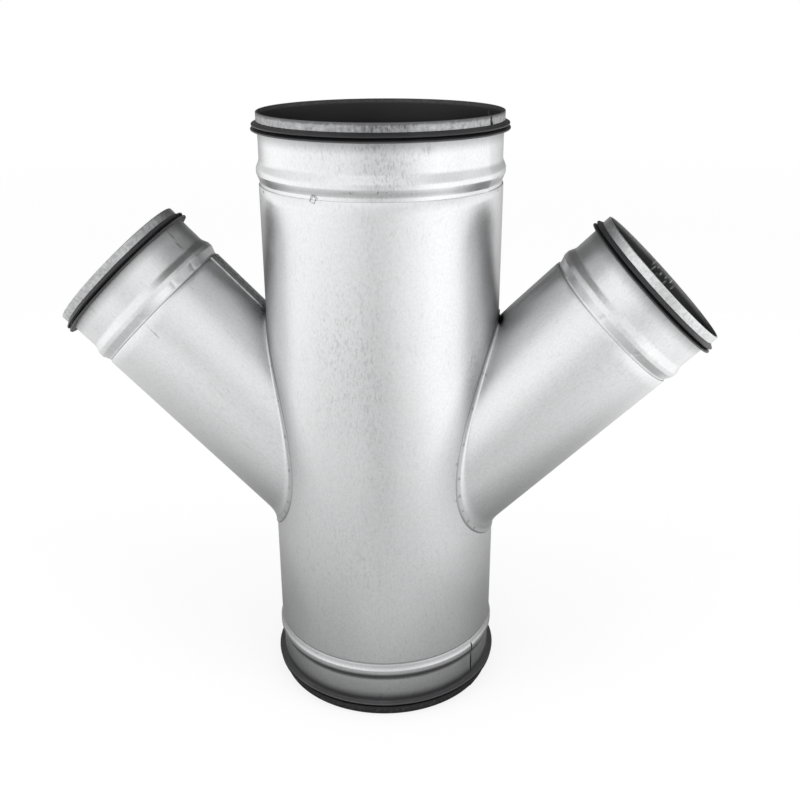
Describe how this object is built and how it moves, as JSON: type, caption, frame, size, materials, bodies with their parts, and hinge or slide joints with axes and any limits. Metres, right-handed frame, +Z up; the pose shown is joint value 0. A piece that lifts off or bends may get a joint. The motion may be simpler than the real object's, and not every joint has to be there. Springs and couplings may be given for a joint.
{
  "type": "double branch duct fitting",
  "caption": "Galvanised sheet duct fitting with a straight main run and opposed 45 degree branches, beaded collars and rubber lip gaskets.",
  "frame": {"origin": "middle of the lower mouth of the main run, in the plane of its rim", "axes": "+Z up along the main run, the way the branches rise; +X towards the right branch, with both branch axes in the XZ plane; +Y away from the viewer of the picture"},
  "size_m": [0.4194, 0.1556, 0.385],
  "materials": {
    "galvanised_sheet": "zinc coated, dull sheen",
    "gasket_rubber": "matt"
  },
  "bodies": {
    "root": {"main_tube": "galvanised_sheet", "bottom_collar": "galvanised_sheet", "top_collar": "galvanised_sheet", "right_branch_tube": "galvanised_sheet", "left_branch_tube": "galvanised_sheet", "right_branch_collar": "galvanised_sheet", "left_branch_collar": "galvanised_sheet", "bottom_gasket": "gasket_rubber", "top_gasket": "gasket_rubber", "right_branch_gasket": "gasket_rubber", "left_branch_gasket": "gasket_rubber"}
  },
  "joints": []
}
